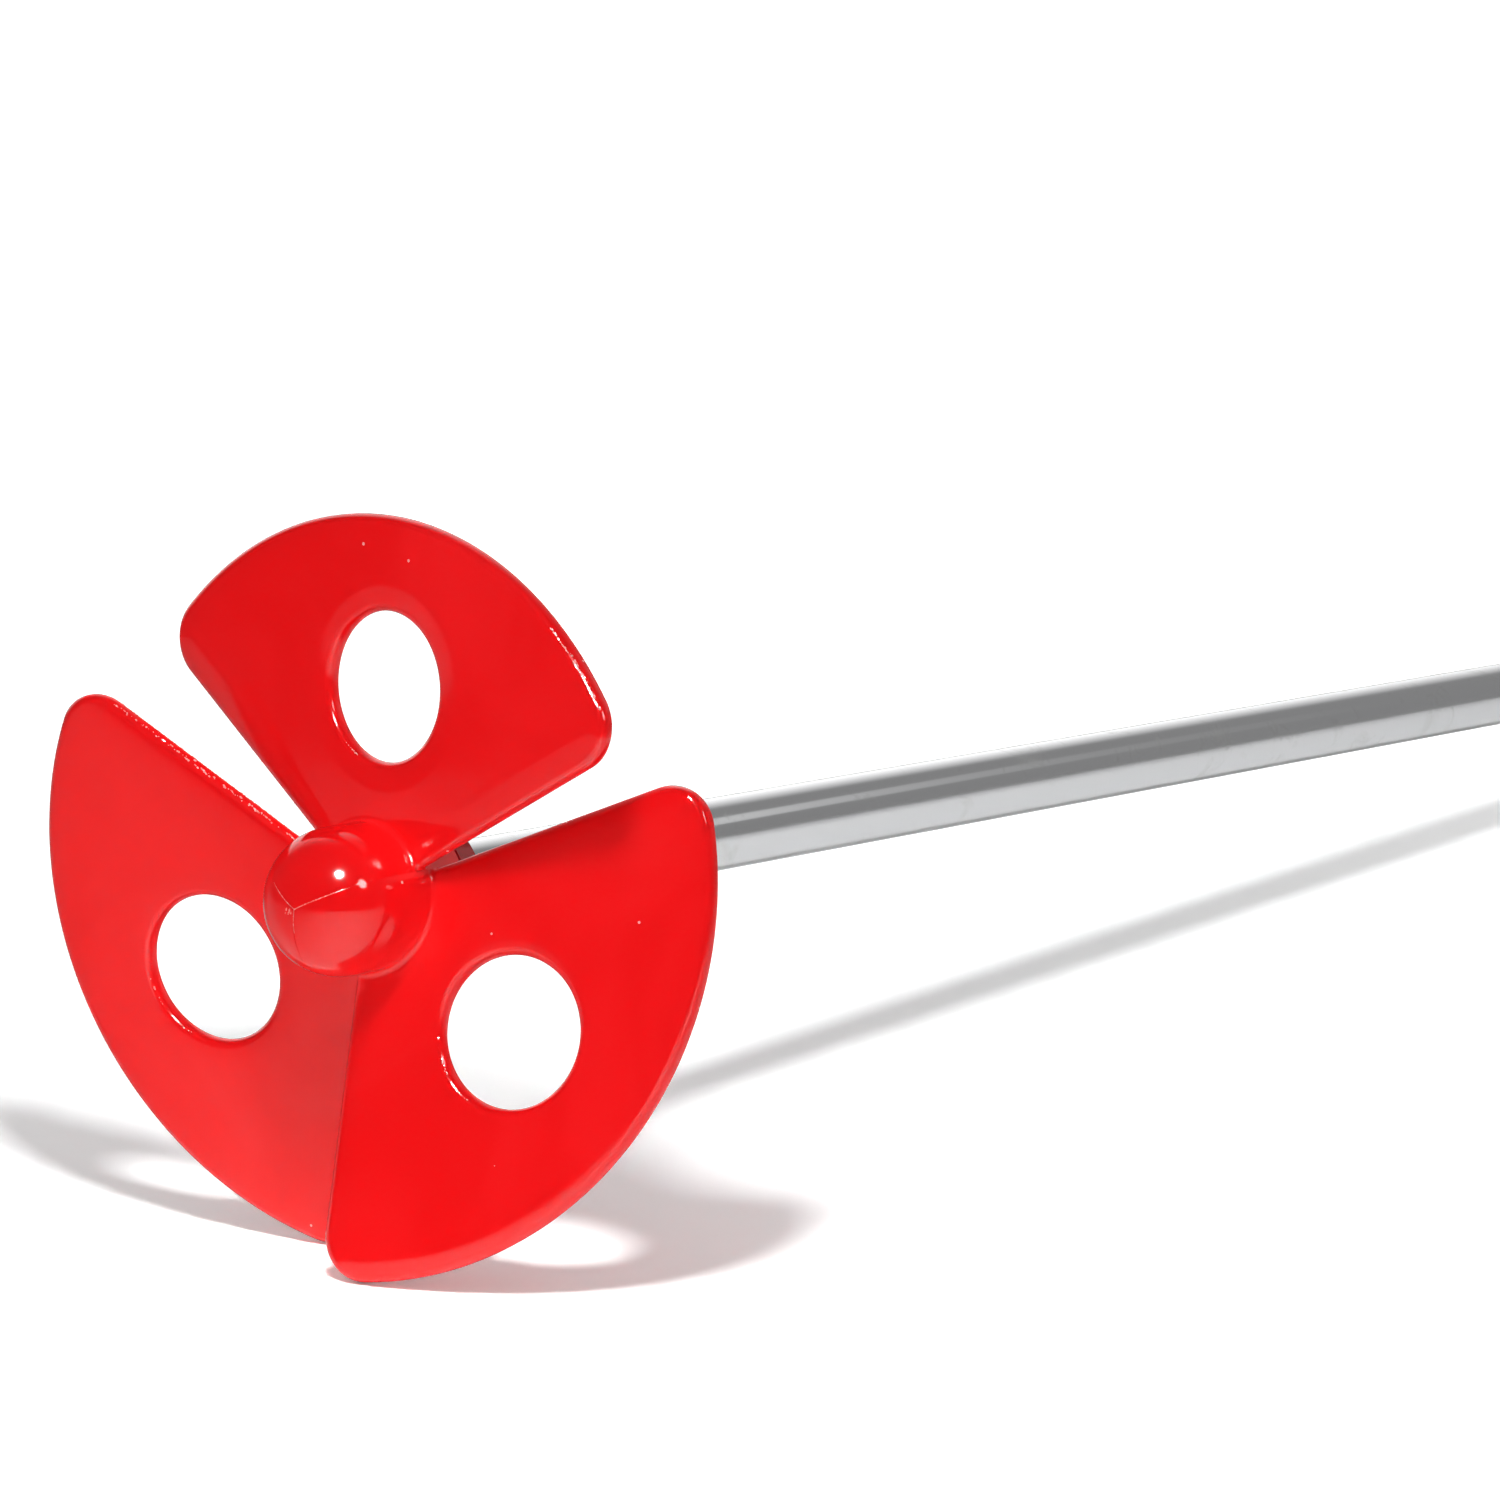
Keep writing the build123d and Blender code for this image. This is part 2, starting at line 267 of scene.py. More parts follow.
# %% [markdown]
# ## Marks that follow the axis
#
# A lathe leaves rings round the axis, and a blade's edges lie round it too. Both need to know where a point
# is in the axis frame, so `round_axis` lays down the nodes for that once.

# %% Where a point lies round the axis
def round_axis(tree, vector):
    """Sockets for a point's place in the axis frame: across, up, along the axis, and away from it."""
    to_axis = axis_frame.inverted()
    mapping = add(tree, "ShaderNodeMapping", vector_type="POINT")
    mapping.inputs["Rotation"].default_value = to_axis.to_euler()
    mapping.inputs["Location"].default_value = to_axis.translation
    join(tree, vector, mapping.inputs["Vector"])
    split = add(tree, "ShaderNodeSeparateXYZ")
    join(tree, mapping.outputs["Vector"], split.inputs["Vector"])
    across, up, along = split.outputs
    square = [math_node(tree, "MULTIPLY", side, side) for side in (across, up)]
    return across, up, along, math_node(tree, "SQRT", math_node(tree, "ADD", *square))


# %% Group: turning marks, the fine rings that a lathe leaves round an axis
turned, inside, outside = new_group(
    "turning marks",
    [("Vector", VECTOR, None), ("Pitch mm", FLOAT, 0.12), ("Depth mm", FLOAT, 0.002)],
    [("Mask", FLOAT), ("Normal", VECTOR)],
)
_, _, height, away = round_axis(turned, inside.outputs["Vector"])
along = add(turned, "ShaderNodeCombineXYZ")
join(turned, away, along.inputs["X"])
join(turned, height, along.inputs["Y"])
rings = add(turned, "ShaderNodeTexNoise", Detail=3.0, Roughness=0.7)
join(turned, along.outputs["Vector"], rings.inputs["Vector"])
join(turned, math_node(turned, "DIVIDE", 1 / MM, inside.outputs["Pitch mm"]), rings.inputs["Scale"])
bump = add(turned, "ShaderNodeBump", Strength=1.0)
join(turned, math_node(turned, "MULTIPLY", inside.outputs["Depth mm"], MM), bump.inputs["Distance"])
join(turned, rings.outputs["Fac"], bump.inputs["Height"])
join(turned, rings.outputs["Fac"], outside.inputs["Mask"])
join(turned, bump.outputs["Normal"], outside.inputs["Normal"])

# %% [markdown]
# ## How far a point is from a blade's edge
#
# Moulded blades are a little thinner at their edges than in the middle, so their gloss slopes away there
# and picks up the table. All three blades are alike, so one group can fold the whole rotor onto one blade
# and measure the distance to its rim, its straight edges and its round window. The smallest one counts.

# %% Sizes of a blade, and which way the first one points
BLADE_HALF_ANGLE = math.radians(57.0)
WINDOW_R, WINDOW_AWAY = 7.6 * MM, 21.35 * MM
SECTOR = math.tau / BLADE_COUNT
ring_low, ring_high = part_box("clamp_ring")
HUB_R = (ring_high.x - ring_low.x) / 2
HUB_CLEAR, HUB_FADE = 0.4 * MM, 2.5 * MM    # the fall starts this far outside the hub, and is whole by here

# Blade 1 stands half way between the ends of its own rim, counted from ACROSS towards RISE.
RIM_SHARE = 0.97            # of the rotor's radius: what lies further out is the rim
blade_spots = [axis_frame.inverted() @ vert.co for vert in nodes["blade_1"].data.vertices]
rim_spots = [spot for spot in blade_spots if math.hypot(spot.x, spot.y) > RIM_SHARE * ROTOR_R]
rim_turns = [math.atan2(spot.y, spot.x) for spot in rim_spots]
FIRST_BLADE = (min(rim_turns) + max(rim_turns)) / 2
print("blade 1 stands at", round(math.degrees(FIRST_BLADE), 2), "degrees, hub radius", round(HUB_R, 5))

# %% Group: rim fall, 0 on the face of a blade and 1 at its nearest edge
rim_fall, inside, outside = new_group(
    "rim fall",
    [("Vector", VECTOR, None), ("Width mm", FLOAT, 2.3)],
    [("Mask", FLOAT)],
)
across, up, _, away = round_axis(rim_fall, inside.outputs["Vector"])
turn = math_node(rim_fall, "ARCTAN2", up, across)
past_start = math_node(rim_fall, "SUBTRACT", turn, FIRST_BLADE - SECTOR / 2)
share = math_node(rim_fall, "DIVIDE", past_start, SECTOR)
folded = math_node(rim_fall, "SUBTRACT", math_node(rim_fall, "FLOORED_MODULO", share, 1.0), 0.5)
off_middle = math_node(rim_fall, "MULTIPLY", math_node(rim_fall, "ABSOLUTE", folded), SECTOR)
to_side = math_node(rim_fall, "SINE", math_node(rim_fall, "SUBTRACT", BLADE_HALF_ANGLE, off_middle))
straight = math_node(rim_fall, "MULTIPLY", away, to_side)
rim = math_node(rim_fall, "SUBTRACT", ROTOR_R, away)
ahead = math_node(rim_fall, "MULTIPLY", away, math_node(rim_fall, "COSINE", off_middle))
aside = math_node(rim_fall, "MULTIPLY", away, math_node(rim_fall, "SINE", off_middle))
ahead = math_node(rim_fall, "SUBTRACT", ahead, WINDOW_AWAY)
square = [math_node(rim_fall, "MULTIPLY", side, side) for side in (ahead, aside)]
from_window = math_node(rim_fall, "SQRT", math_node(rim_fall, "ADD", *square))
window = math_node(rim_fall, "SUBTRACT", from_window, WINDOW_R)
nearest = math_node(rim_fall, "MINIMUM", math_node(rim_fall, "MINIMUM", straight, rim), window)
width = math_node(rim_fall, "MULTIPLY", inside.outputs["Width mm"], MM)
fall = math_node(rim_fall, "SUBTRACT", 1.0, math_node(rim_fall, "DIVIDE", nearest, width), clamp=True)
off_hub = ramp(rim_fall, away, HUB_R + HUB_CLEAR, HUB_R + HUB_FADE, smooth=True)
fall = math_node(rim_fall, "MULTIPLY", math_node(rim_fall, "MULTIPLY", fall, fall), off_hub)
join(rim_fall, fall, outside.inputs["Mask"])
print("shared effects:", [group.name for group in bpy.data.node_groups])

# %% [markdown]
# ## Red moulded plastic
#
# The blades are an opaque, saturated red with a high gloss. A real moulding isn't perfectly even: its
# pigment swims a little, its gloss is duller in soft patches, and its skin ripples slightly, which bends
# the reflections. A few dust specks sit on it. The ring behind the blades is the same plastic in a darker
# red, which is painted shade for where it lies behind the blades, so one function makes both.

# %% Material: blade red, and the same plastic in a darker red as painted shade for the ring behind the blades
DUST = (0.95, 0.42, 0.40, 1.0)
PLASTIC_IOR = 1.42
EDGE_DROP = 0.42 * MM       # how far the surface seems to fall away towards an edge


def moulded_red(name, deep, light, slopes_to_edges):
    """Glossy red plastic, between a deep and a light tone. Only the blades slope to their edges."""
    material, tree, shader, place = new_material(name)
    swirl = add(tree, "ShaderNodeTexNoise", Scale=38.0, Detail=3.0, Roughness=0.5, Distortion=1.2)
    join(tree, place, swirl.inputs["Vector"])
    pigment = mix_colour(tree, ramp(tree, swirl.outputs["Fac"], 0.35, 0.7, smooth=True), deep, light)
    specks = use_group(tree, dust, place, Spacing_mm=3.4, Speck=0.05, Share=0.35)
    join(tree, mix_colour(tree, specks.outputs["Mask"], pigment, DUST), shader.inputs["Base Color"])
    hazed = use_group(tree, smudge, place, Size_mm=16.0, Cover=0.5)
    join(tree, ramp(tree, hazed.outputs["Mask"], 0.0, 1.0, 0.07, 0.13), shader.inputs["Roughness"])
    skin = use_group(tree, ripple, place, Size_mm=3.5, Depth_mm=0.012)
    normal = skin.outputs["Normal"]
    if slopes_to_edges:
        slope = use_group(tree, rim_fall, place, Width_mm=3.0)
        thinner = add(tree, "ShaderNodeBump", Strength=1.0, Distance=EDGE_DROP, invert=True)
        join(tree, slope.outputs["Mask"], thinner.inputs["Height"])
        join(tree, normal, thinner.inputs["Normal"])
        normal = thinner.outputs["Normal"]
    join(tree, normal, shader.inputs["Normal"])
    shader.inputs["IOR"].default_value = PLASTIC_IOR
    return material


BLADE_DEEP, BLADE_LIGHT = (0.80, 0.0045, 0.0060, 1), (0.84, 0.008, 0.010, 1)
# The ring's darker red is painted shade, standing in for the shade it lies in behind the blades.
RING_SHADED_DEEP, RING_SHADED_LIGHT = (0.36, 0.006, 0.008, 1), (0.42, 0.010, 0.012, 1)
blade_red = moulded_red("blade_red", BLADE_DEEP, BLADE_LIGHT, slopes_to_edges=True)
ring_red = moulded_red("ring_red", RING_SHADED_DEEP, RING_SHADED_LIGHT, slopes_to_edges=False)
print("moulded plastic:", blade_red.name, "and", ring_red.name)

# %% [markdown]
# ## Torn plastic
#
# Flash and the stub of the gate are the same plastic, torn and stretched, which turns it pale in places. A
# very fine noise sets the pale flecks, because the pieces themselves are only tenths of a millimetre.

# %% Materials: flash along the edges, and the fainter flash of the seams
def torn_red(name, deep, pale):
    """Red plastic with fine pale flecks, glossier where it is deep."""
    material, tree, shader, place = new_material(name)
    fleck = add(tree, "ShaderNodeTexNoise", Scale=5200.0, Detail=2.0)
    join(tree, place, fleck.inputs["Vector"])
    tone = mix_colour(tree, ramp(tree, fleck.outputs["Fac"], 0.35, 0.65), deep, pale)
    join(tree, tone, shader.inputs["Base Color"])
    join(tree, ramp(tree, fleck.outputs["Fac"], 0.3, 0.7, 0.12, 0.3), shader.inputs["Roughness"])
    return material


flash_pale = torn_red("flash_pale", (0.88, 0.10, 0.09, 1), (0.94, 0.56, 0.52, 1))
seam_pale = torn_red("seam_pale", (0.86, 0.06, 0.05, 1), (0.90, 0.24, 0.21, 1))

# %% [markdown]
# ## Bright plating
#
# Bright plating reflects what stands beside it, a little softly. What makes it look real is what it reflects
# and the little that disturbs it: finger smudges that blur the reflection, a few dark pin specks and a very
# faint waviness.

# %% Material: plated rod
CLEAN_PLATE, FILM, PIN_SPECK = (0.80, 0.805, 0.815, 1.0), (0.70, 0.705, 0.70, 1.0), (0.36, 0.35, 0.34, 1.0)


def plating(name, smudge_cover, rough_low, rough_high):
    """Bright plating, from its roughness where it is clean to that under a smudge."""
    material, tree, shader, place = new_material(name)
    smudges = use_group(tree, smudge, place, Size_mm=7.0, Cover=smudge_cover)
    pins = use_group(tree, dust, place, Spacing_mm=2.2, Speck=0.05, Share=0.22)
    coat = mix_colour(tree, smudges.outputs["Mask"], CLEAN_PLATE, FILM)
    specked = mix_colour(tree, pins.outputs["Mask"], coat, PIN_SPECK)
    join(tree, specked, shader.inputs["Base Color"])
    rough = ramp(tree, smudges.outputs["Mask"], 0.0, 1.0, rough_low, rough_high)
    join(tree, rough, shader.inputs["Roughness"])
    wavy = use_group(tree, ripple, place, Size_mm=5.0, Depth_mm=0.003)
    join(tree, wavy.outputs["Normal"], shader.inputs["Normal"])
    shader.inputs["Metallic"].default_value = 1.0
    return material


rod_chrome = plating("rod_chrome", smudge_cover=0.42, rough_low=0.15, rough_high=0.26)
print("plating:", rod_chrome.name)

# %% [markdown]
# ## Turned and stamped steel, brass and nylon
#
# The axle, washers, clip and spike are plain steel, the bearing sleeve is brass and the hub's core is
# natural nylon. The metals share the turning marks, with a pitch and depth of their own. Inside the hub they
# only show when someone takes it apart, but they are finished all the same.

# %% Materials: the metals inside and the spike
def turned_metal(name, colour, dark, rough, pitch, depth):
    """A metal with lathe rings. Pitch and depth are in millimetres."""
    material, tree, shader, place = new_material(name)
    marks = use_group(tree, turned, place, Pitch_mm=pitch, Depth_mm=depth)
    stains = use_group(tree, smudge, place, Size_mm=9.0, Cover=0.35)
    tone = mix_colour(tree, ramp(tree, marks.outputs["Mask"], 0.3, 0.75), colour, dark)
    join(tree, mix_colour(tree, stains.outputs["Mask"], tone, dark), shader.inputs["Base Color"])
    join(tree, ramp(tree, marks.outputs["Mask"], 0.3, 0.7, rough, rough + 0.12), shader.inputs["Roughness"])
    join(tree, marks.outputs["Normal"], shader.inputs["Normal"])
    shader.inputs["Metallic"].default_value = 1.0
    return material


axle_steel = turned_metal("axle_steel", (0.66, 0.66, 0.67, 1), (0.52, 0.52, 0.53, 1), 0.16, 0.10, 0.002)
washer_steel = turned_metal("washer_steel", (0.62, 0.62, 0.62, 1), (0.48, 0.48, 0.48, 1), 0.26, 0.25, 0.003)
clip_steel = turned_metal("clip_spring_steel", (0.36, 0.34, 0.32, 1), (0.22, 0.20, 0.19, 1), 0.30, 0.3, 0.003)
spike_steel = turned_metal("spike_steel", (0.62, 0.62, 0.63, 1), (0.50, 0.50, 0.51, 1), 0.20, 0.14, 0.003)
sleeve_brass = turned_metal("sleeve_brass", (0.76, 0.57, 0.27, 1), (0.60, 0.42, 0.18, 1), 0.22, 0.12, 0.002)

# %% Material: nylon core
NYLON, NYLON_DEEP = (0.80, 0.78, 0.71, 1), (0.70, 0.67, 0.58, 1)
core_nylon, tree, shader, place = new_material("core_nylon")
mottle = add(tree, "ShaderNodeTexNoise", Scale=420.0, Detail=3.0)
join(tree, place, mottle.inputs["Vector"])
tone = mix_colour(tree, mottle.outputs["Fac"], NYLON, NYLON_DEEP)
join(tree, tone, shader.inputs["Base Color"])
join(tree, ramp(tree, mottle.outputs["Fac"], 0.3, 0.7, 0.38, 0.5), shader.inputs["Roughness"])
grain = use_group(tree, ripple, place, Size_mm=0.5, Depth_mm=0.006)
join(tree, grain.outputs["Normal"], shader.inputs["Normal"])

# %% [markdown]
# ## Each piece gets its finish
#
# The frame's pieces come with no finish of their own, so one list says which piece is made of what.

# %% Give each piece of the frame its finish
FINISH = {
    "blade_1": blade_red, "blade_2": blade_red, "blade_3": blade_red,
    "rod_tube": rod_chrome, "clamp_ring": ring_red,
    "axle_pin": axle_steel, "ground_spike": spike_steel,
    "rear_washer": washer_steel, "front_washer": washer_steel, "retaining_clip": clip_steel,
    "bearing_sleeve": sleeve_brass, "hub_core": core_nylon,
}
for name, material in FINISH.items():
    mesh = nodes[name].data
    mesh.materials.clear()
    mesh.materials.append(material)
print("finishes given to", len(FINISH), "of", len(nodes), "nodes")

# %% [markdown]
# ## The small marks of moulding
#
# Where the two halves of a mould meet, a little plastic creeps out and leaves flash: ragged glossy specks
# along an edge. They could be painted on, but real specks catch the light, so they are modelled as tiny
# uneven grains that sit on the blade's own surface. Each one is set down at the nearest point of the blade
# to a rough guess, with `BVHTree`, and all the grains of one edge are one piece.

# %% Helpers: a surface to sit on, one grain, and a finished piece
random.seed(7)
PITCH = math.radians(10.4)  # how far a blade is turned out of the plane of the rotor
BLADE_HALF = 0.9 * MM       # half a blade's thickness
RAGGED_LOW, RAGGED_HIGH = 0.75, 1.2         # how far a grain's corners stray from an even one
GRAIN_FLAT = 0.6            # how high a grain stands, as a share of its width
INSIDE_BOX = 0.01 * MM      # marks stay this far inside the frame's box
skins = {}
for name in ("blade_1", "blade_2", "blade_3"):
    mesh = nodes[name].data
    corners = [v.co.copy() for v in mesh.vertices]
    skins[name] = BVHTree.FromPolygons(corners, [tuple(face.vertices) for face in mesh.polygons])


def round_place(away, turn, ahead):
    """A place round the axis: how far away from it, which way, and how far towards the nose."""
    return axis_frame @ Vector((away * math.cos(turn), away * math.sin(turn), ahead))


def blade_turn(number):
    return FIRST_BLADE + SECTOR * (number - 1)


def face_ahead(number, across, up):
    """How far towards the nose the middle of a pitched blade stands, at a place seen along the axis."""
    turn = blade_turn(number)
    return -(across * -math.sin(turn) + up * math.cos(turn)) * math.tan(PITCH)


def grain(mesh, skin, guess, along, length, width):
    """One uneven grain on the surface nearest to the guess, longest in the direction given."""
    spot, normal, _, _ = skin.find_nearest(guess)
    along = (along - normal * along.dot(normal)).normalized()
    aside = normal.cross(along)
    made = bmesh.ops.create_icosphere(mesh, subdivisions=1, radius=1.0)["verts"]
    for vert in made:
        ragged = vert.co * random.uniform(RAGGED_LOW, RAGGED_HIGH)
        vert.co = spot + ragged.x * along * length
        vert.co += ragged.y * aside * width
        vert.co += ragged.z * normal * width * GRAIN_FLAT


def finish_marks(name, mesh, material, smooth=False):
    """The bmesh as a piece of the rotor, kept inside the frame's box."""
    for vert in mesh.verts:
        for i in range(3):
            vert.co[i] = min(max(vert.co[i], cad_low[i] + INSIDE_BOX), cad_high[i] - INSIDE_BOX)
    bmesh.ops.recalc_face_normals(mesh, faces=mesh.faces)
    data = bpy.data.meshes.new(name)
    mesh.to_mesh(data)
    mesh.free()
    for face in data.polygons:
        face.use_smooth = smooth
    data.materials.append(material)
    piece = bpy.data.objects.new(name, data)
    bpy.context.scene.collection.objects.link(piece)
    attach(piece, "rotor")
    print(name, len(data.polygons), "faces")
    return piece


# %% Flash along a straight edge: a row of grains on each shoulder
EDGE_OFFSET = 0.5 * MM      # how far outside the edge the rough guess lies
SHOULDER_LOW, SHOULDER_HIGH = 0.55, 1.15    # how far up the edge's rounding, in half thicknesses


def straight_flash(name, number, side, start, end, spacing, size):
    """Grains on both shoulders of the forward (-1) or backward (+1) straight edge of a blade."""
    mesh = bmesh.new()
    turn = blade_turn(number) + side * BLADE_HALF_ANGLE
    out = turn + side * math.pi / 2
    along = round_place(end, turn, 0.0) - round_place(start, turn, 0.0)
    for shoulder in (1, -1):
        away = start
        while away < end:
            across = away * math.cos(turn) + EDGE_OFFSET * math.cos(out)
            up = away * math.sin(turn) + EDGE_OFFSET * math.sin(out)
            rise = shoulder * random.uniform(SHOULDER_LOW, SHOULDER_HIGH) * BLADE_HALF
            ahead = face_ahead(number, across, up) + rise
            length = size * random.uniform(0.5, 1.0) ** 2
            guess = axis_frame @ Vector((across, up, ahead))
            grain(mesh, skins[f"blade_{number}"], guess, along, length * random.uniform(1.0, 2.2), length)
            away += spacing * random.expovariate(1.0) + length
    return finish_marks(name, mesh, flash_pale)


straight_flash("edge_flash_2", 2, -1, 9.0 * MM, 33.5 * MM, 0.20 * MM, 0.13 * MM)
straight_flash("edge_flash_3", 3, 1, 20.0 * MM, 33.0 * MM, 1.6 * MM, 0.08 * MM)
straight_flash("edge_flash_1", 1, 1, 9.0 * MM, 33.0 * MM, 1.4 * MM, 0.08 * MM)


# %% Flash round a curve: the outer rim near a corner, and the lip of each window
def curved_flash(name, number, marks):
    """Marks are runs of (middle across and up, radius, first and last turn, spacing, size)."""
    mesh = bmesh.new()
    for (across, up), radius, first, last, spacing, size in marks:
        turn = first
        while turn < last:
            x, y = across + radius * math.cos(turn), up + radius * math.sin(turn)
            ahead = face_ahead(number, x, y) + random.uniform(0.8, 1.1) * BLADE_HALF
            length = size * random.uniform(0.45, 1.0) ** 2
            along = axis_frame.to_3x3() @ Vector((-math.sin(turn), math.cos(turn), 0.0))
            guess = axis_frame @ Vector((x, y, ahead))
            grain(mesh, skins[f"blade_{number}"], guess, along, length * random.uniform(1.2, 2.6), length)
            turn += (spacing * random.expovariate(1.0) + length) / radius
    return finish_marks(name, mesh, flash_pale)


def window_middle(number):
    return WINDOW_AWAY * math.cos(blade_turn(number)), WINDOW_AWAY * math.sin(blade_turn(number))


def window_marks(number, first, last):
    lip = WINDOW_R + 0.35 * MM
    return [(window_middle(number), lip, math.radians(first), math.radians(last), 0.7 * MM, 0.10 * MM)]


AXIS = (0.0, 0.0)
rim_marks = [(AXIS, ROTOR_R - 0.45 * MM, math.radians(36), math.radians(52), 0.22 * MM, 0.13 * MM),
             (AXIS, ROTOR_R - 0.20 * MM, math.radians(36), math.radians(46), 0.22 * MM, 0.12 * MM)]
curved_flash("rim_flash_1", 1, rim_marks + window_marks(1, 205, 250))
curved_flash("window_flash_2", 2, window_marks(2, 195, 250))
curved_flash("window_flash_3", 3, window_marks(3, 190, 245))

# %% [markdown]
# ## The seams and the gate mark on the nose
#
# The three shells meet on the ball of the hub in a Y. A thread of flash stands in each groove, longest on
# the right, and the torn stub beside the tip is where the plastic entered the mould.

# %% Seam flash and gate mark
BALL_AHEAD, BALL_R = 5.6 * MM, HUB_R
THREAD_R = 0.05 * MM
THREAD_SIDES = 6
THREAD_STEPS = 30
THREAD_RISE = 0.05 * MM     # how proud a thread stands once it is out of the groove at the tip


def on_ball(turn, from_tip, radius):
    side = Vector((math.cos(turn), math.sin(turn), 0.0)) * math.sin(from_tip)
    return axis_frame @ (radius * (side + Vector((0, 0, math.cos(from_tip)))) + Vector((0, 0, BALL_AHEAD)))


def seam_thread(mesh, turn, reach):
    """An uneven thread that fills the groove at the tip and stands a little proud further out."""
    rings = []
    for i in range(THREAD_STEPS + 1):
        from_tip = reach * i / THREAD_STEPS
        rise = min(THREAD_RISE, 0.8 * BALL_R * (1 - math.cos(from_tip)))
        middle = on_ball(turn, from_tip, BALL_R - THREAD_R + rise)
        normal = (middle - axis_frame @ Vector((0, 0, BALL_AHEAD))).normalized()
        ahead = (on_ball(turn, from_tip + 0.01, BALL_R) - on_ball(turn, from_tip, BALL_R)).normalized()
        aside = normal.cross(ahead)
        thick = THREAD_R * (1 - (i / THREAD_STEPS) ** 4 * 0.75) * random.uniform(0.8, 1.15)
        middle = middle + aside * random.uniform(-0.25, 0.25) * THREAD_R
        turns = [math.tau * k / THREAD_SIDES for k in range(THREAD_SIDES)]
        ring = [middle + thick * (math.cos(a) * aside + math.sin(a) * normal) for a in turns]
        rings.append([mesh.verts.new(spot) for spot in ring])
    for one, two in zip(rings, rings[1:]):
        for k in range(THREAD_SIDES):
            j = (k + 1) % THREAD_SIDES
            mesh.faces.new((one[k], one[j], two[j], two[k]))
    mesh.faces.new(rings[0][::-1])
    mesh.faces.new(rings[-1])


SEAM_REACH = (47, 32, 19)                 # degrees from the tip: right, up-left, down
threads = bmesh.new()
for i, reach in enumerate(SEAM_REACH):
    seam_thread(threads, blade_turn(1) - SECTOR / 2 + SECTOR * i, math.radians(reach))
finish_marks("seam_flash", threads, seam_pale, smooth=True)

# The torn stub: turn and degrees from the tip, then length and width in millimetres.
STUB = ((200, 4.5, 0.30, 0.13), (215, 6.0, 0.20, 0.12), (185, 7.0, 0.18, 0.10), (230, 4.0, 0.16, 0.10),
        (205, 9.0, 0.12, 0.07))
gate = bmesh.new()
for turn, from_tip, length, width in STUB:
    guess = on_ball(math.radians(turn), math.radians(from_tip), BALL_R)
    nearest_skin = min(skins.values(), key=lambda skin: skin.find_nearest(guess)[3])
    grain(gate, nearest_skin, guess, RISE + 0.3 * ACROSS, length * MM, width * MM)
finish_marks("gate_mark", gate, seam_pale)

# %% [markdown]
# ## The table
#
# The table is plain and pale, and flat, so it is a single face. It stands a hair below the blades' corners,
# so that it never shares a surface with them.

# %% Table
TABLE_SIZE = 8.0
TABLE_DROP = 0.2 * MM
table = bmesh.new()
bmesh.ops.create_grid(table, x_segments=1, y_segments=1, size=TABLE_SIZE)
table_mesh = bpy.data.meshes.new("table_top")
table.to_mesh(table_mesh)
table.free()
table_top = bpy.data.objects.new("table_top", table_mesh)
bpy.context.scene.collection.objects.link(table_top)
table_top.location.z = -TABLE_DROP

# %% [markdown]
# ## The table's finish
#
# The camera, the gloss of the windmill and the light that bounces off the table each see it in their own
# way here. The camera sees clean white, the bounced light comes from a grey that doesn't flood the blades,
# and reflections see it with painted shade to the left, a painted pool of light before the hub, and as a dim
# room beyond its edge.

# %% Material: table white
TABLE_EDGE = 0.65           # beyond this the reflections see the dim room
TABLE_GREY = 0.62           # what the bounced light and the reflections see
FRONT_ROOM = 0.06           # what reflections see in front of the windmill
REAR_ROOM = 0.25            # and behind it
NEAR_LIFT, FAR_LIFT = 0.07, 0.45
SEEN_WHITE = 1.15           # how much whiter the camera sees the table than the rest of the scene does
LEFT_PAINTED_SHADE, FRONT_PAINTED_LIGHT = 0.45, 1.65          # painted shade and painted light on the table in reflections: to the left, and before the hub
WHITE = (1, 1, 1, 1)
table_white = bpy.data.materials.new("table_white")
table_white.use_nodes = True
tree = table_white.node_tree
shader = tree.nodes["Principled BSDF"]
shader.inputs["Roughness"].default_value = 0.7
light_path = add(tree, "ShaderNodeLightPath")
spot = add(tree, "ShaderNodeVectorMath", operation="DISTANCE")
position = add(tree, "ShaderNodeNewGeometry").outputs["Position"]
join(tree, position, spot.inputs[0])
spot.inputs[1].default_value = (CENTRE.x, CENTRE.y, 0.0)
lift = add(tree, "ShaderNodeEmission")
glow = ramp(tree, spot.outputs["Value"], 0.10, 0.60, NEAR_LIFT, FAR_LIFT, smooth=True)
join(tree, glow, lift.inputs["Strength"])
white = add(tree, "ShaderNodeBsdfDiffuse", Color=(SEEN_WHITE, SEEN_WHITE, SEEN_WHITE, 1))
seen = add(tree, "ShaderNodeMixShader")
join(tree, light_path.outputs["Is Camera Ray"], seen.inputs["Fac"])
lifted = add(tree, "ShaderNodeAddShader")
join(tree, white.outputs["BSDF"], lifted.inputs[0])
join(tree, lift.outputs["Emission"], lifted.inputs[1])
join(tree, shader.outputs["BSDF"], seen.inputs[1])
join(tree, lifted.outputs["Shader"], seen.inputs[2])
beyond = math_node(tree, "GREATER_THAN", spot.outputs["Value"], TABLE_EDGE)
room = add(tree, "ShaderNodeEmission", Color=WHITE)
place_on = add(tree, "ShaderNodeSeparateXYZ")
join(tree, position, place_on.inputs["Vector"])
depth = ramp(tree, place_on.outputs["Y"], CENTRE.y - 0.2, CENTRE.y + 0.6, FRONT_ROOM, REAR_ROOM)
join(tree, depth, room.inputs["Strength"])
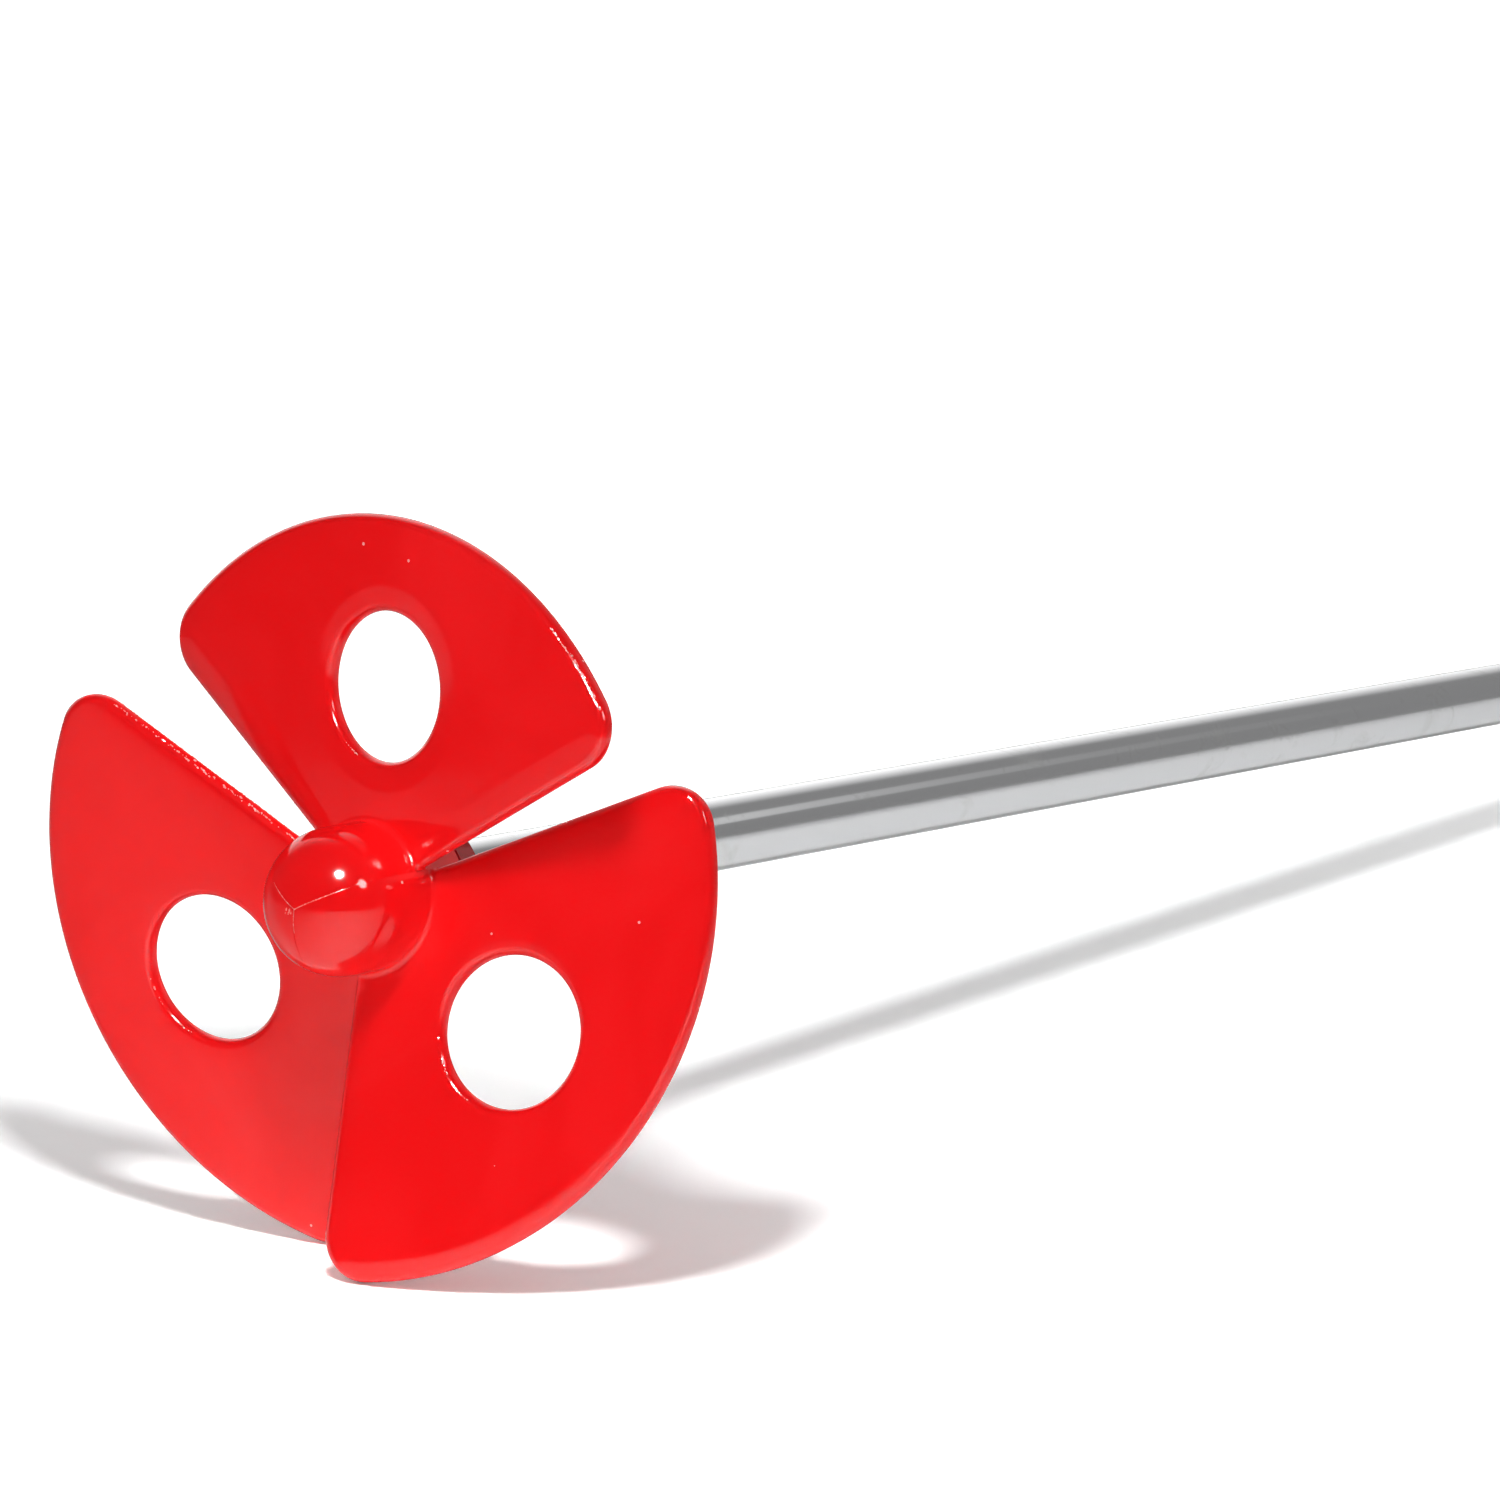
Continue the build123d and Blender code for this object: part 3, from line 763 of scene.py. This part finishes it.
# Reflections see painted shade on the table to the left of the hub, and painted light just before it.
painted_shade_left = ramp(tree, place_on.outputs["X"], -0.06, 0.0, LEFT_PAINTED_SHADE, 1.0)
painted_light_ahead = math_node(tree, "MULTIPLY", ramp(tree, place_on.outputs["X"], -0.01, 0.015),
                     ramp(tree, place_on.outputs["Y"], CENTRE.y - 0.01, CENTRE.y - 0.03))
tone = math_node(tree, "MULTIPLY", painted_shade_left, ramp(tree, painted_light_ahead, 0.0, 1.0, 1.0, FRONT_PAINTED_LIGHT))
glossy_painted_light_shade = mix_colour(tree, light_path.outputs["Is Glossy Ray"], WHITE, tone)
shade = mix_colour(tree, 1.0, glossy_painted_light_shade, (TABLE_GREY, TABLE_GREY, TABLE_GREY, 1), blend="MULTIPLY")
join(tree, shade, shader.inputs["Base Color"])
mirrored = add(tree, "ShaderNodeMixShader")
join(tree, math_node(tree, "MULTIPLY", beyond, light_path.outputs["Is Glossy Ray"]), mirrored.inputs["Fac"])
join(tree, seen.outputs["Shader"], mirrored.inputs[1])
join(tree, room.outputs["Emission"], mirrored.inputs[2])
join(tree, mirrored.outputs["Shader"], tree.nodes["Material Output"].inputs["Surface"])
table_mesh.materials.append(table_white)

# %% [markdown]
# ## The room round the windmill
#
# The camera sees white. Reflections see a dim room with a bright wall behind and to the left, which the
# plating needs to have something to show. A soft fill comes from all round.

# %% World: white behind the windmill, a dim room elsewhere in reflections, soft light all round
FILL = 0.48
world = bpy.data.worlds.new("studio")
bpy.context.scene.world = world
world.use_nodes = True
tree = world.node_tree
background = tree.nodes["Background"]
background.inputs["Color"].default_value = WHITE
light_path = add(tree, "ShaderNodeLightPath")
towards = add(tree, "ShaderNodeSeparateXYZ")
join(tree, add(tree, "ShaderNodeTexCoord").outputs["Generated"], towards.inputs["Vector"])
left = ramp(tree, towards.outputs["X"], -0.08, -0.5)
behind = ramp(tree, towards.outputs["Y"], 0.1, 0.5, smooth=True)
dim = ramp(tree, towards.outputs["Y"], 0.1, 0.6, FRONT_ROOM, REAR_ROOM)
backdrop = math_node(tree, "ADD", dim, math_node(tree, "MULTIPLY", left, behind))
mirrored = math_node(tree, "MULTIPLY", light_path.outputs["Is Glossy Ray"], backdrop)
soft = math_node(tree, "MULTIPLY", light_path.outputs["Is Diffuse Ray"], FILL)
seen = math_node(tree, "ADD", light_path.outputs["Is Camera Ray"], light_path.outputs["Is Transmission Ray"])
strength = math_node(tree, "ADD", math_node(tree, "ADD", mirrored, soft), seen)
join(tree, strength, background.inputs["Strength"])
print("room: soft fill", FILL, "dim from", FRONT_ROOM, "to", REAR_ROOM)

# %% [markdown]
# ## Lamps
#
# A small lamp stands close in front, above the right shoulder of the rotor, and throws the shadows back and
# apart. Close lamps fade fast, so its falloff is evened out, or the far end of the rod would lie in the
# dark. Its highlight is a lamp of its own in the same place, so that the two can be set apart. One low catch
# light, a strong key for the table alone and a row of strips beside the rod do the rest.

# %% Lamps
def lamp(name, place, radius, watts, lights=True, reflected=True):
    """A round lamp. It may light surfaces, show in reflections, or both."""
    data = bpy.data.lights.new(name, "POINT")
    data.energy = watts
    data.shadow_soft_size = radius
    data.use_nodes = True
    tree = data.node_tree
    even = add(tree, "ShaderNodeLightFalloff", Strength=1.0)
    join(tree, even.outputs["Constant"], tree.nodes["Emission"].inputs["Strength"])
    light = bpy.data.objects.new(name, data)
    bpy.context.scene.collection.objects.link(light)
    light.location = place
    light.visible_diffuse = lights
    light.visible_glossy = reflected
    light.visible_camera = False
    return light


KEY_PLACE = CENTRE + Vector((0.054, -0.076, 0.114))
lamp("key_lamp", KEY_PLACE, radius=0.015, watts=19.5, reflected=False)
lamp("key_glint", KEY_PLACE, radius=0.013, watts=620.0, lights=False)
ball = CENTRE + BALL_AHEAD * NOSE
CATCH_AWAY = 0.30
CATCH_TOWARDS = Vector((0.915, -0.171, 0.620))
lamp("catch_light_low", ball + CATCH_AWAY * CATCH_TOWARDS, radius=0.040, watts=11.0, lights=False)

# The table alone gets the key lamp a second time, so that its shadows stand out against a clean white.
table_only = bpy.data.collections.new("table_only")
table_only.objects.link(table_top)
table_key = lamp("table_key", KEY_PLACE, radius=0.016, watts=30.0, reflected=False)
table_key.light_linking.receiver_collection = table_only
print("lamps:", [light.name for light in bpy.data.lights])

# %% [markdown]
# ## The bright line along the rod
#
# Round bright stock shows one long line of light. It is the reflection of something long and bright beside
# it, so it takes a strip of light that is as long as the line, not a dot. The line fades along the rod, so
# strips of growing length and falling strength lie one on another.

# %% Strips of light beside the rod
STRIP_DROP = 0.008          # the rod slopes down, so they are placed from this far below the rotor's centre
STRIP_AWAY = 0.084          # and stand this far from there, across the rod
STRIP_WIDTH = 0.034
STRIP_TURN = math.radians(50.0)             # how high it stands beside the rod, seen along the rod
STRIP_START = 0.03          # behind the rotor


def rod_strip(name, start, length, watts):
    """A strip parallel to the rod. It starts so far behind the rotor, and only shows in reflections."""
    side = Vector((math.cos(STRIP_TURN), 0.0, math.sin(STRIP_TURN)))
    along = Vector((0.0, 1.0, 0.0))
    data = bpy.data.lights.new(name, "AREA")
    data.shape = "RECTANGLE"
    data.size, data.size_y = STRIP_WIDTH, length
    data.energy = watts
    strip = bpy.data.objects.new(name, data)
    bpy.context.scene.collection.objects.link(strip)
    strip.matrix_world = Matrix((along.cross(side), along, side)).transposed().to_4x4()
    strip.location = CENTRE + Vector((0.0, start + length / 2, -STRIP_DROP)) + STRIP_AWAY * side
    strip.visible_diffuse = False
    strip.visible_camera = False


STRIP_COUNT = 8
SHORTEST_STRIP, STRIP_STEP = 0.175, 0.026
STRIP_WATTS, STRIP_FADE = 0.040, 0.66       # watts to a metre of strip, and the share that the next one has
for i in range(STRIP_COUNT):
    length = SHORTEST_STRIP + STRIP_STEP * i
    rod_strip(f"rod_strip_{i + 1}", STRIP_START, length, STRIP_WATTS * STRIP_FADE**i * length)
print("strips beside the rod:", STRIP_COUNT)
